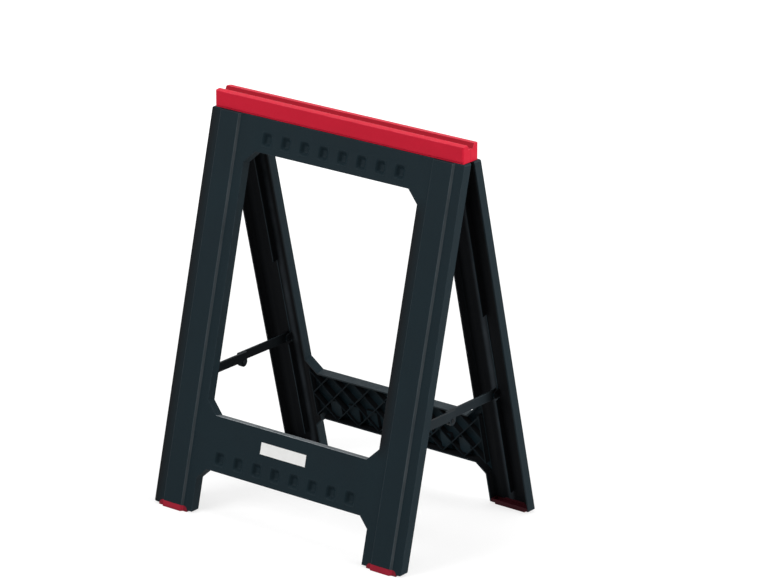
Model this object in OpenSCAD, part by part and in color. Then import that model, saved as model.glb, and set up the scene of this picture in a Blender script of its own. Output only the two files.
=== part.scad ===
/* [Overall] */
// Height from the floor to the top of the ridge
overall_h = 766; // [690:1:860]
// Width of each leg frame along the ridge
frame_w = 585; // [540:5:680]
// Depth over the outer faces at the floor
stance_d = 418.5; // [360:0.5:480]
// Depth over the outer faces at the top of the frames
ridge_d = 57; // [56:0.5:62]

/* [Leg frames] */
// Width of one leg
leg_w = 90.5; // [80:0.5:100]
// Depth of the channel from the outer face to the open back
frame_t = 23.4; // [22:0.2:24]
// Thickness of the outer skin
skin_t = 3; // [2.4:0.1:3.6]
// Thickness of the side flanges
flange_t = 3; // [2.4:0.1:4]
// Thickness of the wall that closes the top
top_wall_t = 3; // [2.4:0.1:4]
// Distance of the raised panel from each edge of a leg
panel_edge = 20.5; // [16:0.5:24]
// Run of the slope at each edge of the panel
panel_slope = 3.5; // [2:0.5:6]
// Rise of the panel above the edges of the leg and the crossbars
panel_rise = 4; // [2:0.2:5]
// Height of the top crossbar along the slope
top_bar_h = 63; // [58:0.5:80]
// Height of the lower crossbar along the slope
low_bar_h = 104; // [96:1:130]
// Height of the underside of the lower crossbar along the slope
low_bar_rise = 90.5; // [74:0.5:110]
// Corner cut of the window
window_cut = 24; // [14:0.5:34]
// Corner cut of the notch between the feet
notch_cut = 20; // [12:0.5:30]

/* [Ribs] */
// Thickness of the inner ribs
rib_t = 2.4; // [1.8:0.1:3.2]
// Depth of the rib along each leg, from the skin
leg_rib_deep = 12; // [8:0.5:15]
// Depth of the diagonal ribs in the lower crossbar, from the skin
lattice_deep = 11; // [8:0.5:14]
// Number of crossed cells along the lower crossbar
lattice_cells = 8; // [6:1:10]

/* [Pockets] */
// Number of pockets in each crossbar
pocket_n = 8; // [4:2:8]
// Spacing of the pockets
pocket_pitch = 44; // [38:0.5:46]
// Width of a pocket at its mouth
pocket_w = 24; // [16:0.5:28]
// Depth of a pocket
pocket_deep = 7; // [4:0.5:9]
// Draft of each side of a pocket, from its mouth to its floor
pocket_draft = 2; // [0.5:0.5:4]
// Thickness of the pocket walls
pocket_wall = 2.4; // [1.8:0.1:3]
// Height of the pockets in the top crossbar
top_pocket_h = 29; // [22:0.5:31]
// Lower edge of the top crossbar to its pockets
top_pocket_edge = 11; // [7:0.5:12]
// Height of the pockets in the lower crossbar
low_pocket_h = 29; // [22:0.5:34]
// Lower edge of the lower crossbar to its pockets
low_pocket_edge = 10; // [7:0.5:16]

/* [Ridge rails] */
// Height of the rails above the frames
cap_h = 33; // [28:0.5:38]
// Depth over both rails
cap_d = 45; // [41:0.5:47]
// Distance of the rails' ends from the frames' ends
cap_inset = 5; // [2:0.5:10]
// Rise of the crown from the outer face to the ridges
crown_rise = 1; // [0.4:0.1:3]
// Width of the flat land on each ridge
ridge_land = 3; // [2:0.2:4]
// Width of the groove at its mouth
groove_w = 19; // [16:0.5:22]
// Width of the groove at its floor
groove_floor_w = 10; // [8:0.5:12]
// Depth of the groove
groove_deep = 9; // [7:0.5:11]
// Wall thickness of the rails
cap_wall = 3; // [2.4:0.1:3.6]
// Corner radius of the rails in plan
cap_corner_r = 4; // [3:0.5:9]
// Height of the shadow gap under the outer face
reveal_h = 3.4; // [1.5:0.1:4]
// Depth of the shadow gap under the outer face
reveal_deep = 1.5; // [0.8:0.1:2]
// Gap between the two rails
cap_seam = 0.5; // [0.4:0.1:1]
// Number of hollow bays under each rail
cap_bays = 12; // [8:1:16]

/* [Rail clips] */
// Width of a clip tongue
clip_w = 20; // [14:0.5:24]
// Thickness of a clip tongue
clip_t = 3; // [2:0.1:3.4]
// Reach of a clip below the rail
clip_reach = 10; // [8:0.5:12]
// Barb of a clip under the top wall
clip_barb = 1.2; // [0.6:0.1:1.6]
// Height of the barb
clip_barb_h = 3; // [2:0.1:4]

/* [Feet] */
// Thickness of the sole under the leg
sole_t = 3; // [2:0.1:4]
// Width of the sole and of its raised front
pad_w = 68; // [56:0.5:76]
// Rise of the foot's front above the sole
front_rise = 8.5; // [6:0.5:12]
// Height of the plug inside the leg
plug_h = 7; // [6:0.5:12]
// Wall thickness of the plug
plug_wall = 3; // [2:0.1:4]

/* [Braces] */
// Height of the brace pivots
brace_z = 242; // [230:1:270]
// Depth of the pivots inside the open back
brace_seat = 9.4; // [9:0.1:10]
// Width of one link
link_w = 5; // [4:0.1:6]
// Height of one link
link_h = 17.6; // [14:0.1:17.8]
// Diameter of the link ends
hub_d = 18; // [17.8:0.1:18.6]
// Drop of the middle pivot below the outer pivots
knuckle_drop = 10; // [6:0.5:12]
// Gap between the two lapped links
lap_gap = 0.7; // [0.6:0.1:1]
// Diameter of the pivot and knuckle pins
pivot_d = 6; // [5:0.1:6.5]
// Diameter of the pin heads
pivot_head_d = 9; // [8.5:0.1:11]
// Thickness of the pin heads
pivot_head_t = 1.4; // [1:0.1:2]
// Thickness of the ears that carry the pivots
ear_t = 3; // [2.4:0.1:4]
// Diameter of the ears
ear_d = 15; // [14.5:0.1:17]

/* [Ridge hinge] */
// Depth of the hinge axis below the top of the frames
hinge_drop = 15; // [13:0.5:18]
// Distance between the two hinges
hinge_spread = 340; // [320:1:352]
// Diameter of the hinge barrels
barrel_d = 12; // [10:0.1:12.6]
// Length of one hinge knuckle
knuckle_l = 20; // [14:0.5:22]
// Diameter of the hinge pins
hinge_pin_d = 5; // [4:0.1:6]
// Diameter of the hinge pin heads
hinge_head_d = 9; // [7.5:0.1:10]
// Thickness of the hinge pin heads
hinge_head_t = 1.8; // [1:0.1:2.4]
// Thickness of the push-on washers
washer_t = 1.2; // [0.8:0.1:1.6]
// Reach of the hinge pins past the washers
pin_tip = 2; // [1:0.1:3]

/* [Label] */
// Width of the label
label_w = 106; // [60:1:140]
// Height of the label
label_h = 22.5; // [14:0.5:28]
// Thickness of the label
label_t = 0.6; // [0.4:0.1:1]
// Shift of the label from the middle
label_shift = -10; // [-30:1:30]
// Lower edge of the lower crossbar to the label
label_rise = 57; // [52:0.5:60]

/* [Hidden] */
// Radial play of a pin in its bore
run_fit = 0.05;
// Play between pieces of one leg
seat_fit = 0.2;
// Side play between pieces that turn against each other
side_fit = 0.4;
// Play between the folded links and the rib under them
fold_fit = 1;
// Overrun of every cut
overrun = 1;
// Places of the rail clips along the rail
clip_place_shares = [-0.42, -0.17, 0, 0.17, 0.42];
// Part of the rail's depth, from its outer face, where the clips stand
clip_line_share = 0.22;

frame_h = overall_h - cap_h;
lean = atan((stance_d - ridge_d) / 2 / frame_h);
// Length of the frame along the slope, with room to trim its top
run_l = (frame_h + frame_t) / cos(lean);
half_w = frame_w / 2;
leg_x = half_w - leg_w / 2;
span_w = frame_w - 2 * leg_w;
window_low = low_bar_rise + low_bar_h;
window_top = frame_h / cos(lean) - top_bar_h;
cap_l = frame_w - 2 * cap_inset;
hinge_z = frame_h - hinge_drop;
hinge_pitch = knuckle_l + side_fit;
pin_half = knuckle_l / 2 + hinge_pitch + side_fit;
// Pivot of a brace in the frame's own plane, and in the world
pivot_n = brace_seat - frame_t;
pivot_v = (brace_z - pivot_n * sin(lean)) / cos(lean);
pivot_y = -stance_d / 2 + pivot_v * sin(lean) - pivot_n * cos(lean);
knuckle_z = brace_z - knuckle_drop;
link_in = lap_gap / 2;
link_out = link_in + link_w;
// Leg length where the folded links lie over a lower rib, and the depth of that rib
fold_low = pivot_v - ear_d;
fold_top = pivot_v - pivot_y + hub_d + ear_d;
low_rib_deep = -pivot_n - hub_d / 2 - skin_t - fold_fit;

$fn = 64;

// Plane of the front frame: x along the ridge, y up the slope, z out of the outer face
module on_front() {
    translate([0, -stance_d / 2, 0])
        rotate([90 - lean, 0, 0])
            children();
}

// The rear half is the front half turned end for end
module as_rear() {
    rotate([0, 0, 180]) children();
}

// Keep what lies between two heights
module between(low, high) {
    intersection() {
        children();
        translate([-frame_w, -stance_d, low])
            cube([2 * frame_w, 2 * stance_d, high - low]);
    }
}

// Extrude a section drawn in x and depth along the slope
module along_slope(low, high) {
    translate([0, high, 0])
        rotate([90, 0, 0])
            linear_extrude(height = high - low)
                children();
}

// Cylinder along the ridge, from x to x + length
module cross_rod(d, length) {
    rotate([0, 90, 0])
        cylinder(d = d, h = length);
}

// Section of a leg, with a raised panel along its outer face
module leg_section() {
    side = leg_w / 2;
    foot = side - panel_edge;
    crease = foot - panel_slope;
    polygon([
        [-side, -frame_t], [-side, -panel_rise], [-foot, -panel_rise], [-crease, 0],
        [crease, 0], [foot, -panel_rise], [side, -panel_rise], [side, -frame_t]
    ]);
}

// Octagon with equal corner cuts
module cut_corners(x, low, high, cut) {
    polygon([
        [-x + cut, low], [x - cut, low], [x, low + cut], [x, high - cut],
        [x - cut, high], [-x + cut, high], [-x, high - cut], [-x, low + cut]
    ]);
}

// Outline of a frame in its plane, drawn in by a wall all round
module outline(wall) {
    cut_gain = wall * (2 - sqrt(2));
    edge = span_w / 2 + wall;
    difference() {
        translate([wall - half_w, -frame_t])
            square([frame_w - 2 * wall, run_l + frame_t]);
        cut_corners(edge, window_low - wall, window_top + wall, window_cut + cut_gain);
        cut_corners(edge, -2 * low_bar_rise, low_bar_rise + wall, notch_cut + cut_gain);
    }
}

// Everything behind the outer face, sunk by a depth
module behind_face(sunk) {
    translate([0, 0, -sunk]) {
        for (side = [-1, 1])
            translate([side * leg_x, 0, 0])
                along_slope(-frame_t, run_l)
                    leg_section();
        translate([-leg_x, -frame_t, -frame_t])
            cube([2 * leg_x, run_l + frame_t, frame_t - panel_rise]);
    }
}

module frame_block() {
    intersection() {
        translate([0, 0, -frame_t])
            linear_extrude(height = frame_t)
                outline(0);
        behind_face(0);
    }
}

module frame_hollow() {
    intersection() {
        translate([0, 0, -frame_t - overrun])
            linear_extrude(height = frame_t)
                outline(flange_t);
        behind_face(skin_t);
    }
}

// Rib that stands on the skin along the middle of a leg
module leg_rib(side, low, high, deep) {
    translate([side * leg_x - rib_t / 2, low, -skin_t - deep])
        cube([rib_t, high - low, skin_t + deep]);
}

module leg_ribs(side) {
    low = (sole_t + plug_h + frame_t) / cos(lean);
    high = (frame_h - 2 * clip_reach) / cos(lean);
    leg_rib(side, low, high, low_rib_deep);
    leg_rib(side, low, fold_low, leg_rib_deep);
    leg_rib(side, fold_top, high, leg_rib_deep);
}

// Crossed ribs between the legs, inside the lower crossbar, and a rib at each end of them
module crossed_ribs() {
    pitch = span_w / lattice_cells;
    deep = panel_rise + skin_t + lattice_deep;
    spare = ceil(low_bar_h / 2 / pitch);
    intersection() {
        translate([-span_w / 2, low_bar_rise, -deep])
            cube([span_w, low_bar_h, deep]);
        for (i = [-spare : lattice_cells + spare])
            for (way = [-1, 1])
                translate([i * pitch - span_w / 2, low_bar_rise + low_bar_h / 2, -deep / 2])
                    rotate([0, 0, way * 45])
                        cube([2 * low_bar_h, rib_t, deep], center = true);
    }
    for (side = [-1, 1])
        translate([side * span_w / 2 - rib_t / 2, low_bar_rise, -deep])
            cube([rib_t, low_bar_h, deep]);
}

// Section of a pocket, narrower at its floor, grown by a wall
module pocket_section(wall, deep) {
    mouth = pocket_w / 2 + wall;
    narrow = mouth - pocket_draft;
    polygon([
        [-mouth, overrun], [-mouth, -panel_rise], [-narrow, -panel_rise - deep],
        [narrow, -panel_rise - deep], [mouth, -panel_rise], [mouth, overrun]
    ]);
}

// Row of pocket shapes on a crossbar, grown by a wall
module pocket_row(low, height, wall, deep) {
    for (i = [0 : pocket_n - 1])
        translate([(i - (pocket_n - 1) / 2) * pocket_pitch, 0, 0])
            along_slope(low - wall, low + height + wall)
                pocket_section(wall, deep);
}

module all_pockets(wall, deep) {
    pocket_row(window_top + top_pocket_edge, top_pocket_h, wall, deep);
    pocket_row(low_bar_rise + low_pocket_edge, low_pocket_h, wall, deep);
}

// Ears that hold one brace pivot, either side of the link
module pivot_ears(side) {
    for (x = [link_in - side_fit - ear_t, link_out + side_fit])
        translate([side * leg_x + x, pivot_v, pivot_n]) {
            cross_rod(ear_d, ear_t);
            translate([0, -ear_d / 2, 0])
                cube([ear_t, ear_d, -pivot_n - skin_t / 2]);
        }
}

module pivot_bore(side, d) {
    translate([side * leg_x - leg_w / 4, pivot_y, brace_z])
        cross_rod(d, leg_w / 2);
}

// Offsets of the knuckles that the front frame carries at each hinge
function knuckle_steps(side) = side < 0 ? [-1, 1] : [0];

// Place a child at each knuckle of the front frame
module at_knuckles() {
    for (side = [-1, 1])
        for (step = knuckle_steps(side))
            translate([side * hinge_spread / 2 + step * hinge_pitch - knuckle_l / 2, 0, hinge_z])
                children();
}

// Barrels on the hinge axis, with arms that reach into the skin
module hinge_knuckles() {
    at_knuckles()
        cross_rod(barrel_d, knuckle_l);
    intersection() {
        at_knuckles()
            translate([0, -ridge_d, -barrel_d / 2])
                cube([knuckle_l, ridge_d, barrel_d]);
        on_front() {
            behind_face(skin_t / 2);
            translate([-half_w, 0, -frame_t - ridge_d])
                cube([frame_w, run_l, ridge_d]);
        }
    }
}

module hinge_bores() {
    for (side = [-1, 1])
        translate([side * hinge_spread / 2 - 2 * hinge_pitch, 0, hinge_z])
            cross_rod(hinge_pin_d + 2 * run_fit, 4 * hinge_pitch);
}

// Distance of the clips from the middle of the ridge
clip_y = cap_d * (1 / 2 - clip_line_share);

module clip_slots() {
    for (share = clip_place_shares)
        translate([
            share * cap_l - clip_w / 2 - seat_fit,
            -clip_y - clip_t / 2 - clip_barb - seat_fit,
            frame_h - top_wall_t - overrun
        ])
            cube([clip_w + 2 * seat_fit, clip_t + clip_barb + 2 * seat_fit, top_wall_t + 2 * overrun]);
}

// Front of a foot with its round shoulders, drawn on the outer face and drawn in by a play
module foot_front(side, play, deep) {
    x = pad_w / 2 - front_rise;
    r = front_rise - play;
    translate([side * leg_x, sole_t / cos(lean), -deep])
        linear_extrude(height = deep + overrun) {
            translate([-x, -r])
                square([2 * x, 2 * r]);
            for (edge = [-1, 1])
                translate([edge * x, 0])
                    circle(r = r);
        }
}

module leg_frame() {
    difference() {
        union() {
            difference() {
                between(sole_t, frame_h)
                    on_front()
                        frame_block();
                difference() {
                    between(-overrun, frame_h - top_wall_t)
                        on_front()
                            frame_hollow();
                    on_front() {
                        for (side = [-1, 1]) {
                            leg_ribs(side);
                            pivot_ears(side);
                        }
                        crossed_ribs();
                        all_pockets(pocket_wall, pocket_deep + pocket_wall);
                    }
                }
            }
            hinge_knuckles();
        }
        on_front() {
            all_pockets(0, pocket_deep);
            for (side = [-1, 1])
                foot_front(side, 0, skin_t + panel_rise + overrun);
        }
        for (side = [-1, 1])
            pivot_bore(side, pivot_d + 2 * run_fit);
        hinge_bores();
        clip_slots();
    }
}

module front_frame() {
    color([0.16, 0.19, 0.21]) leg_frame();
}

module rear_frame() {
    color([0.14, 0.17, 0.19]) as_rear() leg_frame();
}

// Plan of a rail, with its two outer corners rounded
module rail_plan() {
    r = cap_corner_r;
    deep = cap_d / 2 - cap_seam / 2;
    translate([-cap_l / 2, -cap_d / 2 + r])
        square([cap_l, deep - r]);
    translate([r - cap_l / 2, -cap_d / 2])
        square([cap_l - 2 * r, deep]);
    for (side = [-1, 1])
        translate([side * (cap_l / 2 - r), r - cap_d / 2])
            circle(r = r);
}

// Section of the front rail: outer face, sloped top, ridge and half of the groove
module rail_section() {
    back = -cap_d / 2;
    floor_h = cap_h - groove_deep;
    polygon([
        [back + reveal_deep, 0], [back + reveal_deep, reveal_h],
        [back, reveal_h], [back, cap_h - crown_rise],
        [-groove_w / 2 - ridge_land, cap_h], [-groove_w / 2, cap_h],
        [-groove_floor_w / 2, floor_h], [-cap_seam / 2, floor_h], [-cap_seam / 2, 0]
    ]);
}

module rail_hollow() {
    deep = cap_d / 2 - cap_seam / 2 - 2 * cap_wall - reveal_deep;
    bay = (cap_l - 2 * cap_corner_r - cap_wall) / cap_bays;
    first = cap_wall + cap_corner_r - cap_l / 2;
    for (i = [0 : cap_bays - 1])
        translate([first + i * bay, reveal_deep + cap_wall - cap_d / 2, -overrun])
            cube([bay - cap_wall, deep, cap_h - groove_deep - cap_wall + overrun]);
}

module rail_clips() {
    for (share = clip_place_shares)
        translate([share * cap_l - clip_w / 2, -clip_y - clip_t / 2, -clip_reach]) {
            cube([clip_w, clip_t, clip_reach + cap_h - groove_deep]);
            translate([0, -clip_barb, clip_reach - top_wall_t - seat_fit - clip_barb_h])
                cube([clip_w, clip_barb + clip_t / 2, clip_barb_h]);
        }
}

module cap_rail() {
    translate([0, 0, frame_h]) {
        difference() {
            intersection() {
                translate([-cap_l / 2, 0, 0])
                    rotate([90, 0, 90])
                        linear_extrude(height = cap_l)
                            rail_section();
                linear_extrude(height = cap_h)
                    rail_plan();
            }
            rail_hollow();
        }
        rail_clips();
    }
}

module front_cap_rail() {
    color([0.78, 0.13, 0.2]) cap_rail();
}

module rear_cap_rail() {
    color([0.74, 0.12, 0.18]) as_rear() cap_rail();
}

// Inside of a leg end, drawn in by a play and a wall
module leg_socket(side, wall) {
    inner_w = leg_w - 2 * flange_t - 2 * wall;
    on_front()
        intersection() {
            translate([side * leg_x - inner_w / 2, -frame_t, -frame_t])
                cube([inner_w, run_l, frame_t - skin_t - wall]);
            translate([side * leg_x, 0, -skin_t - wall])
                along_slope(-frame_t, run_l)
                    leg_section();
        }
}

// Part of a leg as wide as the sole, from low to high
module pad_column(side, low, high) {
    intersection() {
        between(low, high)
            on_front()
                translate([side * leg_x, 0, 0])
                    along_slope(-frame_t, run_l)
                        leg_section();
        translate([side * leg_x - pad_w / 2, -stance_d, 0])
            cube([pad_w, stance_d, frame_h]);
    }
}

module foot(side) {
    pad_column(side, 0, sole_t);
    intersection() {
        pad_column(side, 0, sole_t + plug_wall / 2);
        leg_socket(side, seat_fit);
    }
    difference() {
        between(sole_t, sole_t + plug_h)
            leg_socket(side, seat_fit);
        between(sole_t + plug_wall, sole_t + plug_h + overrun)
            translate([0, -plug_wall, 0])
                leg_socket(side, seat_fit + plug_wall);
    }
    intersection() {
        pad_column(side, sole_t / 2, sole_t + front_rise);
        on_front()
            foot_front(side, seat_fit, skin_t + panel_rise + 2 * seat_fit);
    }
}

module front_left_foot() {
    color([0.76, 0.14, 0.2]) foot(-1);
}

module front_right_foot() {
    color([0.76, 0.14, 0.2]) foot(1);
}

module rear_left_foot() {
    color([0.7, 0.12, 0.18]) as_rear() foot(1);
}

module rear_right_foot() {
    color([0.7, 0.12, 0.18]) as_rear() foot(-1);
}

// Front link of a brace, from its pivot in the leg to the middle knuckle
module link(side) {
    x = side * leg_x + link_in;
    difference() {
        union() {
            translate([x, pivot_y, brace_z])
                cross_rod(hub_d, link_w);
            translate([x, 0, knuckle_z])
                cross_rod(hub_d, link_w);
            translate([x, pivot_y, brace_z - link_h / 2])
                cube([link_w, hub_d / 2 - pivot_y, link_h]);
            translate([x, -hub_d / 2, knuckle_z])
                cube([link_w, hub_d, knuckle_drop]);
        }
        pivot_bore(side, pivot_d + 2 * run_fit);
        translate([x - overrun, 0, knuckle_z])
            cross_rod(pivot_d + 2 * run_fit, link_w + 2 * overrun);
    }
}

module left_front_link() {
    color([0.12, 0.13, 0.14]) link(-1);
}

module left_rear_link() {
    color([0.12, 0.13, 0.14]) as_rear() link(1);
}

module right_front_link() {
    color([0.12, 0.13, 0.14]) link(1);
}

module right_rear_link() {
    color([0.12, 0.13, 0.14]) as_rear() link(-1);
}

// Pin through both ears, with a head on its outer side
module pivot_pin(side) {
    inner = link_in - side_fit - ear_t;
    outer = link_out + side_fit + ear_t;
    translate([side * leg_x + inner - pivot_head_t, pivot_y, brace_z])
        cross_rod(pivot_d, outer - inner + 2 * pivot_head_t);
    translate([side * leg_x + outer, pivot_y, brace_z])
        cross_rod(pivot_head_d, pivot_head_t);
}

module left_front_pivot_pin() {
    color([0.12, 0.13, 0.14]) pivot_pin(-1);
}

module left_rear_pivot_pin() {
    color([0.12, 0.13, 0.14]) as_rear() pivot_pin(1);
}

module right_front_pivot_pin() {
    color([0.12, 0.13, 0.14]) pivot_pin(1);
}

module right_rear_pivot_pin() {
    color([0.12, 0.13, 0.14]) as_rear() pivot_pin(-1);
}

// Half of a brace's middle pin, from the lap between the links to its head
module knuckle_pin(side) {
    translate([side * leg_x + run_fit, 0, knuckle_z])
        cross_rod(pivot_d, link_out - run_fit + pivot_head_t);
    translate([side * leg_x + link_out, 0, knuckle_z])
        cross_rod(pivot_head_d, pivot_head_t);
}

module left_front_knuckle_pin() {
    color([0.12, 0.13, 0.14]) knuckle_pin(-1);
}

module left_rear_knuckle_pin() {
    color([0.12, 0.13, 0.14]) as_rear() knuckle_pin(1);
}

module right_front_knuckle_pin() {
    color([0.12, 0.13, 0.14]) knuckle_pin(1);
}

module right_rear_knuckle_pin() {
    color([0.12, 0.13, 0.14]) as_rear() knuckle_pin(-1);
}

// Pin through the three knuckles of one hinge, headed at its outer end
module hinge_pin(side) {
    head_x = side * (hinge_spread / 2 + pin_half);
    tip_x = side * (hinge_spread / 2 - pin_half - washer_t - pin_tip);
    translate([min(head_x, tip_x), 0, hinge_z])
        cross_rod(hinge_pin_d, abs(head_x - tip_x));
    translate([side < 0 ? head_x - hinge_head_t : head_x, 0, hinge_z])
        cross_rod(hinge_head_d, hinge_head_t);
}

module hinge_washer(side) {
    seat_x = side * (hinge_spread / 2 - pin_half);
    translate([side < 0 ? seat_x : seat_x - washer_t, 0, hinge_z])
        difference() {
            cross_rod(hinge_head_d, washer_t);
            translate([-overrun, 0, 0])
                cross_rod(hinge_pin_d, washer_t + 2 * overrun);
        }
}

module left_hinge_pin() {
    color("silver") hinge_pin(-1);
}

module right_hinge_pin() {
    color("silver") hinge_pin(1);
}

module left_hinge_washer() {
    color("dimgray") hinge_washer(-1);
}

module right_hinge_washer() {
    color("dimgray") hinge_washer(1);
}

module label_plate() {
    color("white")
        on_front()
            translate([label_shift - label_w / 2, low_bar_rise + label_rise, -panel_rise])
                cube([label_w, label_h, label_t]);
}

front_frame();
rear_frame();
front_cap_rail();
rear_cap_rail();
front_left_foot();
front_right_foot();
rear_left_foot();
rear_right_foot();
left_front_link();
left_rear_link();
right_front_link();
right_rear_link();
left_front_pivot_pin();
left_rear_pivot_pin();
right_front_pivot_pin();
right_rear_pivot_pin();
left_front_knuckle_pin();
left_rear_knuckle_pin();
right_front_knuckle_pin();
right_rear_knuckle_pin();
left_hinge_pin();
right_hinge_pin();
left_hinge_washer();
right_hinge_washer();
label_plate();
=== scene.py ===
import bpy
import bmesh
import math
from mathutils import Matrix, Vector


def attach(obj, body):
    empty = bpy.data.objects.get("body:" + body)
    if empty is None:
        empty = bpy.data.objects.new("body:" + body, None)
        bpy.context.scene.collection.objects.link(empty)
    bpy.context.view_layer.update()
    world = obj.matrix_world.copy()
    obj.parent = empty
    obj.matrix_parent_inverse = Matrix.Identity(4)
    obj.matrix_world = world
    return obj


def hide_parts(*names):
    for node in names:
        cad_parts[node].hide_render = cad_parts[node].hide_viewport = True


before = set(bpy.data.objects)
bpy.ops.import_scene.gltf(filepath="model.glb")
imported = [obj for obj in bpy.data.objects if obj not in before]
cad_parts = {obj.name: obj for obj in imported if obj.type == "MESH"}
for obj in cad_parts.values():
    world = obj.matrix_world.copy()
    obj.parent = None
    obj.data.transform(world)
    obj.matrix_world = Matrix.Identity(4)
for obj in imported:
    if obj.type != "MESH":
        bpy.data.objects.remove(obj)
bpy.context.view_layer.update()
scene = bpy.context.scene
print("frame loaded:", len(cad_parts), "nodes")


# camera, at the photograph's angle
shot = {
    "place": (4.641217, -5.800473, 3.034857),
    "right": (0.78723285, 0.61664985, 0.00271903),
    "up": (-0.20645045, 0.25940057, 0.94344558),
    "focalPixels": 4281.51,
    "imageWidth": 780,
    "sensor": 36.0,
    "farthest": 60,
}


def makeCamera():
    data = bpy.data.cameras.new("studioCamera")
    data.sensor_width = shot["sensor"]
    data.lens = shot["focalPixels"] / shot["imageWidth"] * shot["sensor"]
    data.clip_end = shot["farthest"]
    camera = bpy.data.objects.new("studioCamera", data)
    scene.collection.objects.link(camera)
    right, up = Vector(shot["right"]), Vector(shot["up"])
    back = right.cross(up)
    turn = Matrix((right, up, back)).transposed().to_4x4()
    camera.matrix_world = Matrix.Translation(shot["place"]) @ turn
    scene.camera = camera


makeCamera()
print("camera set")


# node helpers: a wire is a socket that can be added, multiplied and so on
class Wire:
    def __init__(self, graph, socket):
        self.graph = graph
        self.socket = socket

    def calc(self, operation, other=0.0):
        return self.graph.mathNode(operation, self, other)

    def __add__(self, other):
        return self.calc("ADD", other)

    def __radd__(self, other):
        return self.calc("ADD", other)

    def __sub__(self, other):
        return self.calc("SUBTRACT", other)

    def __rsub__(self, other):
        return self.graph.mathNode("SUBTRACT", other, self)

    def __mul__(self, other):
        return self.calc("MULTIPLY", other)

    def __truediv__(self, other):
        return self.calc("DIVIDE", other)

    def __neg__(self):
        return self.calc("MULTIPLY", -1.0)

    def __abs__(self):
        return self.calc("ABSOLUTE")

    def least(self, other):
        return self.calc("MINIMUM", other)

    def most(self, other):
        return self.calc("MAXIMUM", other)

    def above(self, limit):
        return self.calc("GREATER_THAN", limit)

    def below(self, limit):
        return self.calc("LESS_THAN", limit)

    def sign(self):
        return self.calc("SIGN")

    def roundUp(self):
        return self.calc("CEIL")


class Graph:
    def __init__(self, tree):
        self.tree = tree
        tree.nodes.clear()

    def node(self, kind, settings=None, sockets=None, out=0):
        made = self.tree.nodes.new(kind)
        for key, value in (settings or {}).items():
            setattr(made, key, value)
        for key, value in (sockets or {}).items():
            target = made.inputs[key]
            for item in value if isinstance(value, list) else [value]:
                if isinstance(item, Wire):
                    self.tree.links.new(item.socket, target)
                else:
                    target.default_value = item
        return Wire(self, made.outputs[out]) if made.outputs else None

    def mathNode(self, operation, first, second):
        return self.node("ShaderNodeMath", {"operation": operation}, {0: first, 1: second})

    # 0 at the low end, 1 at the high end
    def band(self, value, low, high, kind="LINEAR"):
        return self.node("ShaderNodeMapRange", {"clamp": True, "interpolation_type": kind}, {
            "Value": value, "From Min": low, "From Max": high, "To Min": 0.0, "To Max": 1.0})

    def vector(self, x, y, z):
        return self.node("ShaderNodeCombineXYZ", {}, {0: x, 1: y, 2: z})

    def axis(self, place, name):
        return self.node("ShaderNodeSeparateXYZ", {}, {"Vector": place}, out=name)


# noise kinds, each as detail and roughness
noiseKinds = {
    "plain": (3.0, 0.5), "fine": (4.0, 0.6), "broad": (5.0, 0.6), "worn": (5.0, 0.65), "ragged": (6.0, 0.7),
}


class Finish(Graph):
    def __init__(self, name):
        self.material = bpy.data.materials.new(name)
        self.material.use_nodes = True
        super().__init__(self.material.node_tree)

    def objectPlace(self):
        return self.node("ShaderNodeTexCoord", out="Object")

    def objectNormal(self):
        return self.node("ShaderNodeTexCoord", out="Normal")

    def noise(self, place, scale, kind):
        detail, rough = noiseKinds[kind]
        return self.node("ShaderNodeTexNoise", {}, {
            "Vector": place, "Scale": scale, "Detail": detail, "Roughness": rough})

    def drawnOut(self, place, stretch, kind):
        stretched = self.node("ShaderNodeMapping", {}, {"Vector": place, "Scale": stretch})
        return self.noise(stretched, 1.0, kind)

    def cells(self, place, scale):
        return self.node("ShaderNodeTexVoronoi", {"feature": "F1"}, {
            "Vector": place, "Scale": scale}, out="Distance")

    def blend(self, factor, first, second):
        return self.node("ShaderNodeMix", {"data_type": "RGBA"}, {0: factor, 6: first, 7: second}, out=2)

    def mark(self, name):
        return self.node("ShaderNodeAttribute", {"attribute_name": name}, out="Fac")

    def bump(self, height, strength, distance):
        return self.node("ShaderNodeBump", {}, {
            "Height": height, "Strength": strength, "Distance": distance})

    def surface(self, sockets):
        shader = self.node("ShaderNodeBsdfPrincipled", {}, sockets, out="BSDF")
        self.node("ShaderNodeOutputMaterial", {}, {"Surface": shader})
        return self.material


# a screen colour as the linear colour that a socket takes
def tone(*levels):
    def linear(value):
        value = value / 255
        return value / 12.92 if value <= 0.04045 else ((value + 0.055) / 1.055) ** 2.4
    return (*map(linear, levels), 1.0)


# sizes of the leg frame that its finish, its edges and its trim are set out from
frameSizes = {
    "stance": 0.4185, "ridge": 0.057, "height": 0.733, "halfWidth": 0.2925, "legWidth": 0.0905,
    "depth": 0.0234, "faceDrop": 0.004, "windowLow": 0.1945, "topBar": 0.063, "windowCut": 0.024,
    "notchTop": 0.0905, "notchCut": 0.02, "footTop": 0.0135, "footHalf": 0.0352, "flange": 0.003,
    "ribTop": 0.015, "ribHalf": 0.0015,
}
halfWidth, windowLow, notchTop = (frameSizes[key] for key in ("halfWidth", "windowLow", "notchTop"))
lean = math.atan((frameSizes["stance"] - frameSizes["ridge"]) / 2 / frameSizes["height"])
inner = halfWidth - frameSizes["legWidth"]
legMiddle = halfWidth - frameSizes["legWidth"] / 2
windowTop = frameSizes["height"] / math.cos(lean) - frameSizes["topBar"]
pocketRows = {"top": windowTop + 0.0255, "low": notchTop + 0.0245}


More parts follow.
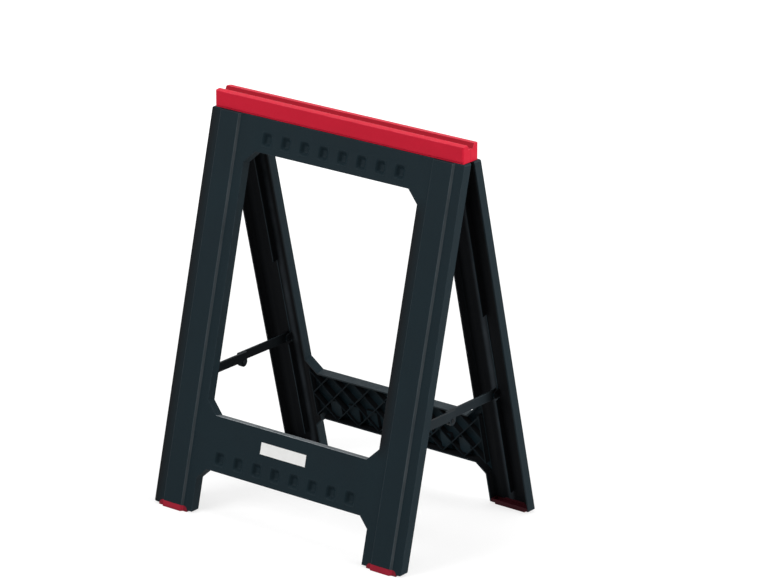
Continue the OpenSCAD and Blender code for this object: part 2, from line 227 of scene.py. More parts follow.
# finishes
slate = {
    # the darkest tone is painted shade, inside the channels and on the left-hand leg margins
    "body": tone(17, 32, 38), "deep": tone(14, 28, 34), "worn": tone(56, 67, 73), "hollow": tone(6, 8, 11),
    # the pale grey tone is a painted highlight on the leg creases and the window sill
    "crease": tone(178, 184, 188), "polish": 0.18,
    # this tone, its place and its band give a painted sheen beside the rib inside each leg
    "paintedSheen": tone(52, 58, 63), "paintedSheenPlace": legMiddle - 0.00905, "paintedSheenBand": (0.001, 0.01),
    "margin": {
        "outer": -halfWidth, "inside": inner, "reach": 0.027, "slack": 0.001,
        "facing": (0.85, 0.95), "windowFoot": (0.19, 0.225), "windowHead": (0.63, 0.66),
    },
    "gloss": 0.09, "rough": 0.56, "grainSize": 900.0, "grainDepth": 0.00016, "cellSize": 620.0,
}
redRail = {
    "body": tone(203, 28, 53), "deep": tone(194, 25, 49), "worn": tone(222, 74, 92),
    # the darkest red is painted shade on the walls of the groove
    "hollow": tone(154, 21, 38),
    "gloss": 0.1, "rough": 0.46, "grainSize": 1100.0, "grainDepth": 0.0001,
}
linkNylon = {
    "body": tone(35, 42, 46), "deep": tone(30, 36, 40), "worn": tone(90, 97, 101),
    # the darkest tone is painted shade on the inner sides and the ends of the links
    "hollow": tone(7, 9, 11), "shadedEnd": (0.108, 0.13), "endShade": 0.85,
    "gloss": 0.04, "rough": 0.46, "grainSize": 1300.0, "grainDepth": 0.00008,
}
nylon = {
    "body": tone(17, 21, 24), "deep": tone(13, 16, 19), "worn": tone(52, 57, 61),
    "gloss": 0.1, "rough": 0.46, "grainSize": 1300.0, "grainDepth": 0.00008,
}
# what all moulded plastics share: patterns, and how far each tints and roughens
moulding = {
    "mottleSize": 9.0, "toneBand": (0.3, 0.7), "mottleRough": 0.12,
    "flowStretch": (70.0, 70.0, 5.0), "flowRough": 0.08,
    "scuffStretch": (26.0, 34.0, 150.0), "scuffBand": (0.62, 0.8), "scuffTint": 0.07, "scuffRough": 0.06,
    "wearSize": 46.0, "wearBand": (0.3, 0.7), "wearTint": 0.5, "wearRough": 0.08,
    "grainShare": 0.6, "cellShare": 0.7, "bumpStrength": 0.35, "bumpGain": 4, "hollowRough": 0.25,
    # the patch values break up the painted sheen
    "patchSize": 14.0, "patchBand": (0.3, 0.65), "patchLeast": 0.45,
    # the first three values below break up the painted highlight; the coat band sets the real gloss of the sill
    # edge
    "highlightStretch": (40.0, 40.0, 9.0), "highlightBand": (0.2, 0.65), "highlightLeast": 0.35, "coatBand": (0.3, 0.8),
}


# the left-hand margin of each leg turns away from the light
def marginShade(finish, place, margin):
    outward = finish.axis(finish.objectNormal(), "Y")
    across = finish.axis(place, "X") * -outward.sign()
    height = finish.axis(place, "Z")

    def fade(start):
        return 1 - finish.band(across, start, start + margin["reach"])

    outer = fade(margin["outer"]) * across.below(0.0)
    inside = fade(margin["inside"]) * across.above(margin["inside"] - margin["slack"])
    besideWindow = finish.band(height, *margin["windowFoot"]) * (1 - finish.band(height, *margin["windowHead"]))
    return (outer + inside * besideWindow) * finish.band(abs(outward), *margin["facing"])


# painted sheen: a soft pale streak along the rib inside each leg, over the painted shade of the channel
def paintedSheenShade(finish, place, look):
    beside = abs(abs(finish.axis(place, "X")) - look["paintedSheenPlace"])
    sheen = 1 - finish.band(beside, *look["paintedSheenBand"], "SMOOTHSTEP")
    patchy = finish.band(finish.noise(place, moulding["patchSize"], "plain"), *moulding["patchBand"])
    least = moulding["patchLeast"]
    return finish.blend(sheen * (least + patchy * (1 - least)), look["hollow"], look["paintedSheen"])


def mouldedFinish(name, look):
    finish = Finish(name)
    place = finish.objectPlace()
    grain = finish.noise(place, look["grainSize"], "fine")
    mottle = finish.noise(place, moulding["mottleSize"], "broad")
    flow = finish.drawnOut(place, moulding["flowStretch"], "plain")
    scuffs = finish.band(finish.drawnOut(place, moulding["scuffStretch"], "ragged"), *moulding["scuffBand"])
    wear = finish.band(finish.noise(place, moulding["wearSize"], "worn"), *moulding["wearBand"])
    wear = finish.mark("edgeWear") * wear
    colour = finish.blend(finish.band(mottle, *moulding["toneBand"]), look["deep"], look["body"])
    tint = scuffs * moulding["scuffTint"] + wear * moulding["wearTint"]
    colour = finish.blend(tint, colour, look["worn"])
    rough = look["rough"] + (mottle - 0.5) * moulding["mottleRough"] + (flow - 0.5) * moulding["flowRough"]
    rough = rough + scuffs * moulding["scuffRough"] - wear * moulding["wearRough"]
    height = grain
    if "cellSize" in look:
        cells = finish.cells(place, look["cellSize"])
        height = grain * moulding["grainShare"] + cells * moulding["cellShare"]
    if "margin" in look:
        colour = finish.blend(marginShade(finish, place, look["margin"]), colour, look["hollow"])
    # painted shade where the mark is set, more of it at the ends of the links, with a painted sheen along the
    # leg ribs
    if "hollow" in look:
        hollow = finish.mark("hollow")
        if "shadedEnd" in look:
            end = finish.band(abs(finish.axis(place, "Y")), *look["shadedEnd"])
            hollow = hollow.most(end * look["endShade"])
        shaded = paintedSheenShade(finish, place, look) if "paintedSheen" in look else look["hollow"]
        colour = finish.blend(hollow, colour, shaded)
        rough = rough + hollow * moulding["hollowRough"]
    sockets = {"Roughness": rough, "Specular IOR Level": look["gloss"]}
    # painted highlight on the leg creases and the sill, plus a real glossy coat on the sill edge
    if "crease" in look:
        crease = finish.mark("crease")
        highlightBreakup = finish.band(finish.drawnOut(place, moulding["highlightStretch"], "fine"), *moulding["highlightBand"])
        least = moulding["highlightLeast"]
        colour = finish.blend(crease * (least + highlightBreakup * (1 - least)), colour, look["crease"])
        sockets["Coat Weight"] = finish.band(crease, *moulding["coatBand"])
        sockets["Coat Roughness"] = look["polish"]
    sockets["Base Color"] = colour
    sockets["Normal"] = finish.bump(height, moulding["bumpStrength"], look["grainDepth"] * moulding["bumpGain"])
    return finish.surface(sockets)


redFoot = {
    # the darkest red is painted shade on the plug inside the leg's channel
    "body": tone(168, 36, 55), "deep": tone(140, 28, 45), "dirt": tone(84, 36, 42), "hollow": tone(52, 11, 19),
    "gloss": 0.1, "rough": 0.68, "grainSize": 700.0, "bumpStrength": 0.4, "bumpReach": 0.0006,
    "mottleSize": 30.0, "toneBand": (0.3, 0.7), "mottleRough": 0.2,
    "dirtTop": 0.005, "dirtBand": (0.35, 0.65), "dirtTint": 0.6, "dirtRough": 0.12,
}


def footFinish(name, look):
    finish = Finish(name)
    place = finish.objectPlace()
    grain = finish.noise(place, look["grainSize"], "fine")
    mottle = finish.noise(place, look["mottleSize"], "broad")
    low = 1 - finish.band(finish.axis(place, "Z"), 0.0, look["dirtTop"])
    dirt = low * finish.band(mottle, *look["dirtBand"])
    colour = finish.blend(finish.band(mottle, *look["toneBand"]), look["deep"], look["body"])
    colour = finish.blend(dirt * look["dirtTint"], colour, look["dirt"])
    # painted shade on the plug inside the leg's channel
    colour = finish.blend(finish.mark("hollow"), colour, look["hollow"])
    rough = look["rough"] + (mottle - 0.5) * look["mottleRough"] + dirt * look["dirtRough"]
    return finish.surface({
        "Base Color": colour, "Roughness": rough, "Specular IOR Level": look["gloss"],
        "Normal": finish.bump(grain, look["bumpStrength"], look["bumpReach"]),
    })


zinc = {
    "body": tone(196, 198, 200), "deep": tone(150, 153, 156), "worn": tone(226, 226, 224), "rough": 0.34,
    "brush": (2600.0, 180.0, 180.0), "brushRough": 0.1, "bumpStrength": 0.3, "bumpReach": 0.00008,
    "bloomSize": 160.0, "toneBand": (0.3, 0.75), "bloomRough": 0.3, "wearBand": (0.35, 0.7), "wearTint": 0.7,
}


def zincFinish(name, look):
    finish = Finish(name)
    place = finish.objectPlace()
    brush = finish.drawnOut(place, look["brush"], "plain")
    bloom = finish.noise(place, look["bloomSize"], "worn")
    wear = finish.mark("edgeWear") * finish.band(bloom, *look["wearBand"])
    colour = finish.blend(finish.band(bloom, *look["toneBand"]), look["deep"], look["body"])
    colour = finish.blend(wear * look["wearTint"], colour, look["worn"])
    rough = look["rough"] + (bloom - 0.5) * look["bloomRough"] + (brush - 0.5) * look["brushRough"]
    return finish.surface({
        "Base Color": colour, "Metallic": 1.0, "Roughness": rough,
        "Normal": finish.bump(brush, look["bumpStrength"], look["bumpReach"]),
    })


film = {
    "body": tone(240, 240, 239), "deep": tone(234, 234, 232), "worn": tone(206, 205, 200), "rough": 0.32,
    "fibreSize": 420.0, "bumpStrength": 0.25, "bumpReach": 0.00012, "coat": 0.2,
    "cloudSize": 60.0, "toneBand": (0.35, 0.7), "cloudRough": 0.2, "wearBand": (0.4, 0.7), "wearTint": 0.7,
}


def filmFinish(name, look):
    finish = Finish(name)
    place = finish.objectPlace()
    fibre = finish.noise(place, look["fibreSize"], "fine")
    cloud = finish.noise(place, look["cloudSize"], "fine")
    wear = finish.mark("edgeWear") * finish.band(cloud, *look["wearBand"])
    colour = finish.blend(finish.band(cloud, *look["toneBand"]), look["body"], look["deep"])
    colour = finish.blend(wear * look["wearTint"], colour, look["worn"])
    rough = look["rough"] + (cloud - 0.5) * look["cloudRough"]
    return finish.surface({
        "Base Color": colour, "Roughness": rough, "Coat Weight": look["coat"],
        "Normal": finish.bump(fibre, look["bumpStrength"], look["bumpReach"]),
    })


finishes = {
    "frame_plastic": mouldedFinish("slateMoulding", slate),
    "red_plastic": mouldedFinish("redRailMoulding", redRail),
    "foot_plastic": footFinish("redFootRubber", redFoot),
    "link_plastic": mouldedFinish("blackNylonLink", linkNylon),
    "knuckle_plastic": mouldedFinish("blackNylonPin", nylon),
    "pin_steel": zincFinish("zincSteel", zinc),
    "label_film": filmFinish("blankFilm", film),
}
print("finishes made:", len(finishes))


# pieces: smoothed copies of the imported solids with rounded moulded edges
meshCare = {
    "weld": 2e-6, "flatDegrees": 0.5, "sliver": 5e-6, "sharpDegrees": 38, "normalWeight": 50, "mostSides": 4,
}


# a direction in the frame's own axes: along the bar, up the slope, out of the face
def directionOnSlope(way, turn):
    up = way.y * turn * math.sin(lean) + way.z * math.cos(lean)
    out = way.z * math.sin(lean) - way.y * turn * math.cos(lean)
    return way.x * turn, up, out


# a point in the same axes, measured from the outer foot line
def onSlope(point, turn):
    return directionOnSlope(Vector((point.x, point.y + turn * frameSizes["stance"] / 2, point.z)), turn)


def paint(face, mark, value):
    for loop in face.loops:
        loop[mark] = (value, value, value, 1)


def newMark(bm, name):
    mark = bm.loops.layers.float_color.new(name)
    for face in bm.faces:
        paint(face, mark, 0)
    return mark


def cleanCopy(node):
    bm = bmesh.new()
    bm.from_mesh(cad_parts[node].data)
    bmesh.ops.remove_doubles(bm, verts=bm.verts, dist=meshCare["weld"])
    flat = math.radians(meshCare["flatDegrees"])
    bmesh.ops.dissolve_limit(bm, angle_limit=flat, verts=bm.verts, edges=bm.edges)
    return bm, newMark(bm, "edgeWear")


def sharpEdges(bm, degrees, test):
    found = []
    for edge in bm.edges:
        if len(edge.link_faces) != 2:
            continue
        if math.degrees(edge.calc_face_angle_signed(0)) > degrees and (test is None or test(edge)):
            found.append(edge)
    return found


def roundEdges(bm, wear, width, segments, degrees, test=None):
    edges = sharpEdges(bm, degrees, test)
    if not edges:
        return
    made = bmesh.ops.bevel(
        bm, geom=edges, offset=width, offset_type="OFFSET", segments=segments,
        profile=0.5, affect="EDGES", clamp_overlap=True, loop_slide=True, material=-1)
    for face in made["faces"]:
        paint(face, wear, 1)


# put the modifiers' result in place of the piece's mesh
def settle(piece, name):
    settled = bpy.data.meshes.new_from_object(
        piece.evaluated_get(bpy.context.evaluated_depsgraph_get()))
    piece.modifiers.clear()
    piece.data = settled
    settled.name = name
    return settled


def finishPiece(bm, name, node, body, slot):
    bmesh.ops.dissolve_degenerate(bm, dist=meshCare["sliver"], edges=bm.edges[:])
    mesh = bpy.data.meshes.new(name)
    bm.to_mesh(mesh)
    bm.free()
    mesh.materials.append(finishes[slot])
    mesh.polygons.foreach_set("use_smooth", [True] * len(mesh.polygons))
    mesh.set_sharp_from_angle(angle=math.radians(meshCare["sharpDegrees"]))
    piece = bpy.data.objects.new(name, mesh)
    scene.collection.objects.link(piece)
    soften = piece.modifiers.new("soften", "WEIGHTED_NORMAL")
    soften.keep_sharp = True
    soften.weight = meshCare["normalWeight"]
    cut = piece.modifiers.new("cut", "TRIANGULATE")
    cut.min_vertices = meshCare["mostSides"] + 1
    cut.ngon_method = "BEAUTY"
    cut.keep_custom_normals = True
    settle(piece, name)
    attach(piece, body)
    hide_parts(node)


# an opening with cut corners, as half its width, its lower and upper edge and the cut
def inCutCorners(x, v, half, low, high, cut):
    x = abs(x)
    if x > half or v < low or v > high:
        return False
    return x + v < half + high - cut and x - v < half - low - cut


# painted shade: dark inside the channels, but not on the rims or on the floors of the bars
paintedShadeRules = {
    "slack": 0.0004, "skin": 0.0026, "outFacing": 0.2, "inFacing": -0.7, "thinRim": 0.0025, "cutDist": 1e-6,
}


def markPaintedShade(bm, turn):
    slack = paintedShadeRules["slack"]
    legStart = inner + frameSizes["flange"] + slack
    for side in (-1, 1):
        bmesh.ops.bisect_plane(
            bm, geom=bm.verts[:] + bm.edges[:] + bm.faces[:], dist=paintedShadeRules["cutDist"],
            plane_co=(side * legStart, 0, 0), plane_no=(1, 0, 0))
    mark = newMark(bm, "hollow")
    wall = frameSizes["flange"] - slack
    half = inner + wall
    cornerGain = wall * (2 - math.sqrt(2))
    windowCut, notchCut = frameSizes["windowCut"] + cornerGain, frameSizes["notchCut"] + cornerGain
    floorless = -1
    for face in bm.faces:
        x, v, n = onSlope(face.calc_center_median(), turn)
        facing = directionOnSlope(face.normal, turn)[2]
        inward = facing < paintedShadeRules["inFacing"]
        if facing > paintedShadeRules["outFacing"] or not slack - frameSizes["depth"] < n < -paintedShadeRules["skin"]:
            continue
        if abs(x) > halfWidth - wall or (abs(x) < legStart and inward):
            continue
        if inCutCorners(x, v, half, windowLow - wall, windowTop + wall, windowCut):
            continue
        if inCutCorners(x, v, half, floorless, notchTop + wall, notchCut):
            continue
        if inward and 2 * face.calc_area() / face.calc_perimeter() < paintedShadeRules["thinRim"]:
            continue
        paint(face, mark, 1)


# painted highlight: pale lines on the right-hand slope of each leg panel and on the sill of the window
paintedHighlightRules = {
    "edgeDepth": 0.0068, "edgeFacing": 0.15, "legMargin": 0.012, "legTilt": 0.35,
    "sillReach": 0.0035, "sillTilt": 0.3, "sillEnd": inner - frameSizes["windowCut"] + 0.001,
    "legPale": 0.09, "edgePale": 0.9, "frontSillPale": 0.3, "rearSillPale": 0.07,
}


def markPaintedHighlight(bm, turn):
    mark = newMark(bm, "crease")
    sillPale = paintedHighlightRules["frontSillPale" if turn > 0 else "rearSillPale"]
    margin = paintedHighlightRules["legMargin"]
    for face in bm.faces:
        x, v, n = onSlope(face.calc_center_median(), turn)
        across, upward, facing = directionOnSlope(face.normal, turn)
        onEdge = n > -paintedHighlightRules["edgeDepth"] and facing > paintedHighlightRules["edgeFacing"]
        nearSill = abs(v - windowLow) < paintedHighlightRules["sillReach"] and abs(x) < paintedHighlightRules["sillEnd"]
        if nearSill and upward > paintedHighlightRules["sillTilt"]:
            paint(face, mark, paintedHighlightRules["edgePale"] if onEdge else sillPale)
        elif onEdge and inner + margin < abs(x) < halfWidth - margin and across > paintedHighlightRules["legTilt"]:
            paint(face, mark, paintedHighlightRules["legPale"])


# rounded edges of a frame, each as radius, segments and the angle from which an edge counts
frameRounds = {
    "corner": (0.006, 3, 20), "rim": (0.0022, 3, 30), "back": (0.0007, 2, 30), "rib": (0.0007, 2, 60),
}
frameTests = {
    "throughDepth": 0.012, "upright": 0.0005, "atSide": 0.0006, "atCorner": 0.0008, "level": 0.0003,
    "pocketReach": 0.0165, "pocketSpan": 0.175, "rimSlack": 0.0007, "backLength": 0.004, "ribLength": 0.02,
}


def windowCorners():
    cut, notch = frameSizes["windowCut"], frameSizes["notchCut"]
    places = [(inner - cut, windowLow), (inner, windowLow + cut)]
    places += [(inner, windowTop - cut), (inner - cut, windowTop)]
    places += [(inner - notch, notchTop), (inner, notchTop - notch)]
    return places


def roundFrame(node, name, body, turn):
    bm, wear = cleanCopy(node)
    corners = windowCorners()

    def local(edge):
        return [onSlope(vert.co, turn) for vert in edge.verts]

    def isCorner(edge):
        (x1, v1, n1), (x2, v2, n2) = local(edge)
        if abs(n1 - n2) < frameTests["throughDepth"] or abs(x1 - x2) > frameTests["upright"]:
            return False
        if abs(abs(x1) - halfWidth) < frameTests["atSide"]:
            return abs(v1 - v2) < frameTests["throughDepth"]
        middle, near = (v1 + v2) / 2, frameTests["atCorner"]
        return any(abs(abs(x1) - x) < near and abs(middle - v) < near for x, v in corners)

    def isPocket(edge):
        ends = local(edge)
        return any(all(abs(v - row) < frameTests["pocketReach"] and abs(x) < frameTests["pocketSpan"]
                       for x, v, n in ends) for row in pocketRows.values())

    def isRim(edge):
        ends = local(edge)
        if any(n < -frameSizes["faceDrop"] - frameTests["rimSlack"] for x, v, n in ends):
            return False
        if all(v < frameSizes["footTop"] and abs(abs(x) - legMiddle) < frameSizes["footHalf"]
               for x, v, n in ends):
            return False
        return not isPocket(edge)

    def isBack(edge):
        atBack = all(abs(n + frameSizes["depth"]) < frameTests["level"] for x, v, n in local(edge))
        return atBack and edge.calc_length() > frameTests["backLength"]

    def isRib(edge):
        onTop = all(abs(n + frameSizes["ribTop"]) < frameTests["level"]
                    and abs(abs(x) - legMiddle) < frameSizes["ribHalf"] for x, v, n in local(edge))
        return onTop and edge.calc_length() > frameTests["ribLength"]

    for kind, test in (("corner", isCorner), ("rim", isRim), ("back", isBack), ("rib", isRib)):
        roundEdges(bm, wear, *frameRounds[kind], test)
    markPaintedShade(bm, turn)
    markPaintedHighlight(bm, turn)
    finishPiece(bm, name, node, body, "frame_plastic")


roundFrame("front_frame", "front_frame_moulding", "front_half", 1)
roundFrame("rear_frame", "rear_frame_moulding", "rear_half", -1)
print("frames made")


# geometry nodes for what repeats on a frame
class Shaper(Graph):
    def __init__(self, name, sizes):
        tree = bpy.data.node_groups.new(name, "GeometryNodeTree")
        super().__init__(tree)
        tree.interface.new_socket("Geometry", in_out="OUTPUT", socket_type="NodeSocketGeometry")
        self.sizes = sizes
        self.keys = {}
        for label, value in sizes.items():
            kind = "NodeSocketInt" if isinstance(value, int) else "NodeSocketFloat"
            socket = tree.interface.new_socket(label, in_out="INPUT", socket_type=kind)
            self.keys[label] = socket.identifier
        self.given = tree.nodes.new("NodeGroupInput")

    def size(self, label):
        return Wire(self, self.given.outputs[label])

    # lay the flat pattern on the outer face of the front frame, then realise it
    def finishOnSlope(self, parts, depth, slot):
        joined = self.node("GeometryNodeJoinGeometry", {}, {"Geometry": parts})
        sunk = self.node("GeometryNodeTransform", {}, {"Geometry": joined, "Translation": (0, 0, depth)})
        laid = self.node("GeometryNodeTransform", {}, {
            "Geometry": sunk, "Rotation": (math.pi / 2 - lean, 0, 0),
            "Translation": (0, -frameSizes["stance"] / 2, 0)})
        plain = self.node("GeometryNodeRealizeInstances", {}, {"Geometry": laid})
        dressed = self.node("GeometryNodeSetMaterial", {}, {"Geometry": plain, "Material": finishes[slot]})
        self.node("NodeGroupOutput", {}, {"Geometry": dressed})


def growPiece(shaper, name, body, turned):
    piece = bpy.data.objects.new(name, bpy.data.meshes.new(name))
    scene.collection.objects.link(piece)
    grow = piece.modifiers.new("grow", "NODES")
    grow.node_group = shaper.tree
    for label, key in shaper.keys.items():
        grow[key] = shaper.sizes[label]
    settled = settle(piece, name)
    if turned:
        settled.transform(Matrix.Rotation(math.pi, 4, "Z"))
    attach(piece, body)
    print(name, len(settled.polygons), "faces")


# soft-sided cups that line the two rows of pockets
cupSizes = {
    "Count": 8, "Pitch": 0.044, "Width": 0.0246, "Height": 0.0296, "Depth": 0.0066, "Wall": 0.0003,
    "Side Run": 0.0088, "End Run": 0.01, "Columns": 27, "Rows": 31, "Smooth From": 0.3,
    "Top Row": pocketRows["top"], "Low Row": pocketRows["low"],
}
cupLift = 0.00003


def cupShaper():
    shaper = Shaper("pocketCups", cupSizes)
    wide, tall, wall = shaper.size("Width"), shaper.size("Height"), shaper.size("Wall")
    sheet = shaper.node("GeometryNodeMeshCube", {}, {
        "Size": shaper.vector(wide, tall, wall), "Vertices X": shaper.size("Columns"),
        "Vertices Y": shaper.size("Rows"), "Vertices Z": 2}, out="Mesh")
    place = shaper.node("GeometryNodeInputPosition")
    across = (wide * 0.5 - abs(shaper.axis(place, "X"))) / shaper.size("Side Run")
    upward = (tall * 0.5 - abs(shaper.axis(place, "Y"))) / shaper.size("End Run")
    sink = shaper.band(across, 0.0, 1.0, "SMOOTHSTEP") * shaper.band(upward, 0.0, 1.0, "SMOOTHSTEP")
    sink = sink * shaper.size("Depth") + wall * 0.5
    cup = shaper.node("GeometryNodeSetPosition", {}, {
        "Geometry": sheet, "Offset": shaper.vector(0.0, 0.0, -sink)})
    facing = abs(shaper.axis(shaper.node("GeometryNodeInputNormal"), "Z"))
    cup = shaper.node("GeometryNodeSetShadeSmooth", {}, {
        "Geometry": cup, "Selection": facing.above(shaper.size("Smooth From"))})
    count, pitch = shaper.size("Count"), shaper.size("Pitch")
    start = (count - 1) * pitch * -0.5
    rows = []
    for label in ("Top Row", "Low Row"):
        line = shaper.node("GeometryNodeMeshLine", {}, {
            "Count": count, "Start Location": shaper.vector(start, shaper.size(label), 0.0),
            "Offset": shaper.vector(pitch, 0.0, 0.0)})
        rows.append(shaper.node("GeometryNodeInstanceOnPoints", {}, {"Points": line, "Instance": cup}))
    shaper.finishOnSlope(rows, cupLift - frameSizes["faceDrop"], "frame_plastic")
    return shaper


# rounded edges along the crossed ribs of the lower bar, with a fixed amount of painted shade
beadSizes = {
    "Cells": 8, "Span": 2 * inner, "Height": 0.1015, "Radius": 0.00125, "Sides": 8, "Shade": 0.45,
    "Shortest": 0.003, "Middle": (notchTop + windowLow) / 2,
}
beadDepth = -0.0178


def beadShaper():
    shaper = Shaper("ribBeads", beadSizes)
    span, tall, cells = shaper.size("Span"), shaper.size("Height"), shaper.size("Cells")
    ring = shaper.node("GeometryNodeCurvePrimitiveCircle", {}, {
        "Radius": shaper.size("Radius"), "Resolution": shaper.size("Sides")})
    line = shaper.node("GeometryNodeCurvePrimitiveLine", {}, {"Start": (-0.5, 0, 0), "End": (0.5, 0, 0)})
    bead = shaper.node("GeometryNodeCurveToMesh", {}, {
        "Curve": line, "Profile Curve": ring, "Fill Caps": True})
    bead = shaper.node("GeometryNodeStoreNamedAttribute", {"data_type": "FLOAT", "domain": "POINT"}, {
        "Geometry": bead, "Name": "hollow", "Value": shaper.size("Shade")})
    bead = shaper.node("GeometryNodeSetShadeSmooth", {}, {"Geometry": bead})
    pitch = span / cells
    spare = (tall * 0.5 / pitch).roundUp()
    across = (shaper.node("GeometryNodeInputIndex") - spare) * pitch - span * 0.5
    first = (tall * -0.5).most(span * -0.5 - across)
    last = (tall * 0.5).least(span * 0.5 - across)
    run, middle = last - first, (first + last) * 0.5
    parts = []
    for way in (-1, 1):
        spot = shaper.vector(across + middle, middle * way + shaper.size("Middle"), 0.0)
        dots = shaper.node("GeometryNodePoints", {}, {"Count": cells + spare * 2 + 1, "Position": spot})
        parts.append(shaper.node("GeometryNodeInstanceOnPoints", {}, {
            "Points": dots, "Instance": bead, "Selection": run.above(shaper.size("Shortest")),
            "Rotation": (0, 0, way * math.pi / 4), "Scale": shaper.vector(run * math.sqrt(2), 1.0, 1.0)}))
    ends = shaper.node("GeometryNodeMeshLine", {}, {
        "Count": 2, "Start Location": shaper.vector(span * -0.5, shaper.size("Middle"), 0.0),
        "Offset": shaper.vector(span, 0.0, 0.0)})
    parts.append(shaper.node("GeometryNodeInstanceOnPoints", {}, {
        "Points": ends, "Instance": bead, "Rotation": (0, 0, math.pi / 2),
        "Scale": shaper.vector(tall, 1.0, 1.0)}))
    shaper.finishOnSlope(parts, beadDepth, "frame_plastic")
    return shaper


cups, beads = cupShaper(), beadShaper()
for half, turned in (("front", False), ("rear", True)):
    growPiece(cups, f"{half}_pocket_cups", f"{half}_half", turned)
    growPiece(beads, f"{half}_rib_beads", f"{half}_half", turned)
print("pocket cups and rib beads made")


# rails: rounded top and lower edge, painted shade on the walls of the groove; heights above the base
railSizes = {"base": 0.733, "topFrom": 0.02, "lowEdge": (0.0005, 0.005), "wallFacing": 0.5}
railRounds = {"top": (0.0012, 3, 20), "low": (0.0006, 2, 40)}


def roundRail(node, name, body):
    bm, wear = cleanCopy(node)
    topFrom = railSizes["base"] + railSizes["topFrom"]
    low, high = (railSizes["base"] + rise for rise in railSizes["lowEdge"])

    def isTop(edge):
        return all(vert.co.z > topFrom for vert in edge.verts)

    def isLow(edge):
        return all(low < vert.co.z < high for vert in edge.verts)

    roundEdges(bm, wear, *railRounds["top"], isTop)
    roundEdges(bm, wear, *railRounds["low"], isLow)
    groove = newMark(bm, "hollow")
    for face in bm.faces:
        place, side = face.calc_center_median(), face.normal.y
        if place.z > topFrom and place.y * side < 0 and abs(side) > railSizes["wallFacing"]:
            paint(face, groove, 1)
    finishPiece(bm, name, node, body, "red_plastic")


roundRail("front_cap_rail", "front_ridge_rail", "front_half")
roundRail("rear_cap_rail", "rear_ridge_rail", "rear_half")
print("ridge rails made")


# small pieces, with the radius of their edges
smallRounds = {"foot": 0.0008, "link": 0.0012, "pin": 0.0005, "washer": 0.0002, "label": 0.0001}
smallEdges = {"segments": 2, "degrees": 40}
linkShading = {"facing": 0.3, "dark": 0.9}
footShading = {"behind": 0.0028, "above": 0.0032, "frontFacing": 0.5, "frontDark": 0.4}


# the side of a link that faces the middle of the trestle lies in shade
def linkShade(face):
    inward = -face.normal.x if face.calc_center_median().x > 0 else face.normal.x
    return linkShading["dark"] if inward > linkShading["facing"] else 0


# a foot's plug sits in the shade of the leg's channel
def footShade(face, turn):
    place = face.calc_center_median()
    x, v, n = onSlope(place, turn)
    if n >= -footShading["behind"] or place.z <= footShading["above"]:
        return 0
    facing = directionOnSlope(face.normal, turn)[2]
    return footShading["frontDark"] if facing > footShading["frontFacing"] else 1


def roundSmall(node, name, body, slot, width, shade=None):
    bm, wear = cleanCopy(node)
    roundEdges(bm, wear, width, smallEdges["segments"], smallEdges["degrees"])
    if shade:
        mark = newMark(bm, "hollow")
        for face in bm.faces:
            paint(face, mark, shade(face))
    finishPiece(bm, name, node, body, slot)


for side in ("left", "right"):
    for half, turn in (("front", 1), ("rear", -1)):
        body = half + "_half"
        brace = f"{side}_{half}_brace"
        roundSmall(f"{half}_{side}_foot", f"{half}_{side}_foot_pad", body, "foot_plastic",
                   smallRounds["foot"], lambda face: footShade(face, turn))
        roundSmall(f"{side}_{half}_pivot_pin", f"{side}_{half}_pivot", body, "knuckle_plastic",
                   smallRounds["pin"])
        roundSmall(f"{side}_{half}_link", f"{side}_{half}_link_bar", brace, "link_plastic",
                   smallRounds["link"], linkShade)
        roundSmall(f"{side}_{half}_knuckle_pin", f"{side}_{half}_knuckle", brace, "knuckle_plastic",
                   smallRounds["pin"])
    roundSmall(f"{side}_hinge_pin", f"{side}_hinge_rod", "front_half", "pin_steel", smallRounds["pin"])
    roundSmall(f"{side}_hinge_washer", f"{side}_hinge_ring", "front_half", "pin_steel", smallRounds["washer"])
roundSmall("label_plate", "blank_label", "front_half", "label_film", smallRounds["label"])
print("small pieces made")


# stage and light
stageLook = {
    "size": 16.0, "sink": 0.0002, "floorTone": 0.36, "liftNear": 0.68, "liftFar": 1.0,
    "nearRing": 0.9, "farRing": 3.2, "ambient": 0.3, "white": (1, 1, 1, 1),
}
lamps = {
    "key": {"place": (-2.0, -4.2, 3.6), "aim": (0, 0, 0.4), "size": 3.0, "watts": 194.0},
    "side": {"place": (4.6, 0.7, 2.2), "aim": (0, 0, 0.4), "size": 3.0, "watts": 200.0},
    "top": {"place": (0.2, 0.8, 4.8), "aim": (0, 0, 0.4), "size": 3.4, "watts": 92.0},
}


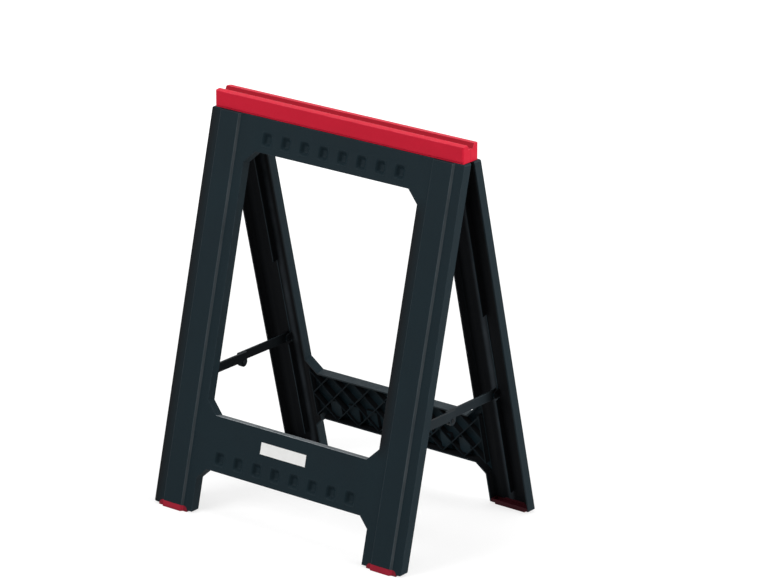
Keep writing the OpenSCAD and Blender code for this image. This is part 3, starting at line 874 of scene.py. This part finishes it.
# 1 for what the camera sees, straight or by a mirror or glass, and 0 for lighting rays
def shownRays(graph):
    rays = [graph.node("ShaderNodeLightPath", out=name)
            for name in ("Is Camera Ray", "Is Glossy Ray", "Is Transmission Ray")]
    return rays[0] + rays[1] + rays[2]


def makeStage():
    finish = Finish("paleFloor")
    away = finish.node("ShaderNodeVectorMath", {"operation": "LENGTH"}, {0: finish.objectPlace()}, out="Value")
    near, far = stageLook["liftNear"], stageLook["liftFar"]
    ring = finish.band(away, stageLook["nearRing"], stageLook["farRing"], "SMOOTHSTEP")
    lift = ring * (far - near) + near
    level = stageLook["floorTone"]
    diffuse = finish.node("ShaderNodeBsdfDiffuse", {}, {"Color": (level, level, level, 1)})
    glow = finish.node("ShaderNodeEmission", {}, {
        "Color": stageLook["white"], "Strength": shownRays(finish) * lift})
    both = finish.node("ShaderNodeAddShader", {}, {0: diffuse, 1: glow})
    finish.node("ShaderNodeOutputMaterial", {}, {"Surface": both})
    mesh = bpy.data.meshes.new("studioFloor")
    half, low = stageLook["size"] / 2, -stageLook["sink"]
    corners = [(-half, -half, low), (half, -half, low), (half, half, low), (-half, half, low)]
    mesh.from_pydata(corners, [], [(0, 1, 2, 3)])
    mesh.materials.append(finish.material)
    floor = bpy.data.objects.new("studioFloor", mesh)
    scene.collection.objects.link(floor)


def makeWorld():
    world = bpy.data.worlds.new("studioSky")
    world.use_nodes = True
    sky = Graph(world.node_tree)
    ambient = stageLook["ambient"]
    strength = shownRays(sky) * (1 - ambient) + ambient
    glow = sky.node("ShaderNodeBackground", {}, {"Color": stageLook["white"], "Strength": strength})
    sky.node("ShaderNodeOutputWorld", {}, {"Surface": glow})
    scene.world = world


def makeLamps():
    for name, lamp in lamps.items():
        data = bpy.data.lights.new(name, "AREA")
        data.energy = lamp["watts"]
        data.size = lamp["size"]
        light = bpy.data.objects.new(name, data)
        scene.collection.objects.link(light)
        light.location = lamp["place"]
        aim = Vector(lamp["aim"]) - Vector(lamp["place"])
        light.rotation_euler = aim.to_track_quat("-Z", "Y").to_euler()


makeStage()
makeWorld()
makeLamps()
scene.view_settings.view_transform = "Standard"
print("stage and light made")
